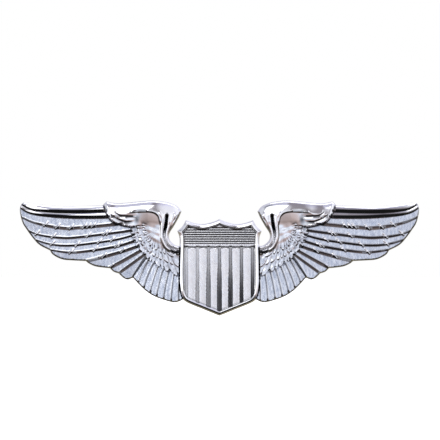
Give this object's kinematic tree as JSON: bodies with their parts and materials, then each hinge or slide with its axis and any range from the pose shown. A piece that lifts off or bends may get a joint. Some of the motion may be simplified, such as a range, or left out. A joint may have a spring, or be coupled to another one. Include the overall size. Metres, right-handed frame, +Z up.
{
  "type": "pilot wings badge",
  "caption": "Feathered wings badge in bright plated metal with a striped shield at its centre, held through cloth by pointed posts and squeeze-to-release clutch backs.",
  "frame": {"origin": "middle of the badge's flat back face, where it lies against the cloth", "axes": "+X along the span, to the right as seen from the front; the front faces -Y and the posts point along +Y; +Z up as worn"},
  "size_m": [0.0762, 0.0122, 0.022],
  "materials": {
    "plated_wings": "bright plate over die-struck brass, satin feathers with polished edges",
    "plated_shield": "bright plate, matte grained field with polished rim",
    "rivet_brass": "peened, plated thin",
    "post_steel": "bright drawn wire",
    "clutch_brass": "pressed, lightly tumbled",
    "jaw_brass": "pressed, lightly tumbled",
    "spring_steel": "drawn spring wire"
  },
  "bodies": {
    "badge": {"wing_plate": "plated_wings", "shield": "plated_shield", "shield_rivets": "rivet_brass", "left_post": "post_steel", "right_post": "post_steel"},
    "left_clutch": {"left_clutch_base": "clutch_brass", "left_clutch_housing": "clutch_brass", "left_clutch_spring": "spring_steel"},
    "left_outer_jaw": {"left_clutch_outer_jaw": "jaw_brass"},
    "left_inner_jaw": {"left_clutch_inner_jaw": "jaw_brass"},
    "right_clutch": {"right_clutch_base": "clutch_brass", "right_clutch_housing": "clutch_brass", "right_clutch_spring": "spring_steel"},
    "right_outer_jaw": {"right_clutch_outer_jaw": "jaw_brass"},
    "right_inner_jaw": {"right_clutch_inner_jaw": "jaw_brass"}
  },
  "joints": [
    {"name": "left_clutch_slide", "type": "slide", "parent": "badge", "child": "left_clutch", "axis": [0, 1, 0], "range_m": [0, 0.01]},
    {"name": "left_outer_jaw_squeeze", "type": "slide", "parent": "left_clutch", "child": "left_outer_jaw", "axis": [1, 0, 0], "range_m": [0, 0.0006], "stiffness_N_per_m": 200, "springref_m": -0.001, "deforming": ["left_clutch_spring"]},
    {"name": "left_inner_jaw_squeeze", "type": "slide", "parent": "left_clutch", "child": "left_inner_jaw", "axis": [-1, 0, 0], "range_m": [0, 0.0006], "stiffness_N_per_m": 200, "springref_m": -0.001, "deforming": ["left_clutch_spring"]},
    {"name": "right_clutch_slide", "type": "slide", "parent": "badge", "child": "right_clutch", "axis": [0, 1, 0], "range_m": [0, 0.01]},
    {"name": "right_outer_jaw_squeeze", "type": "slide", "parent": "right_clutch", "child": "right_outer_jaw", "axis": [-1, 0, 0], "range_m": [0, 0.0006], "stiffness_N_per_m": 200, "springref_m": -0.001, "deforming": ["right_clutch_spring"]},
    {"name": "right_inner_jaw_squeeze", "type": "slide", "parent": "right_clutch", "child": "right_inner_jaw", "axis": [1, 0, 0], "range_m": [0, 0.0006], "stiffness_N_per_m": 200, "springref_m": -0.001, "deforming": ["right_clutch_spring"]}
  ],
  "couplings": [
    {"joint": "left_inner_jaw_squeeze", "follows": "left_outer_jaw_squeeze", "ratio": 1},
    {"joint": "right_inner_jaw_squeeze", "follows": "right_outer_jaw_squeeze", "ratio": 1}
  ]
}
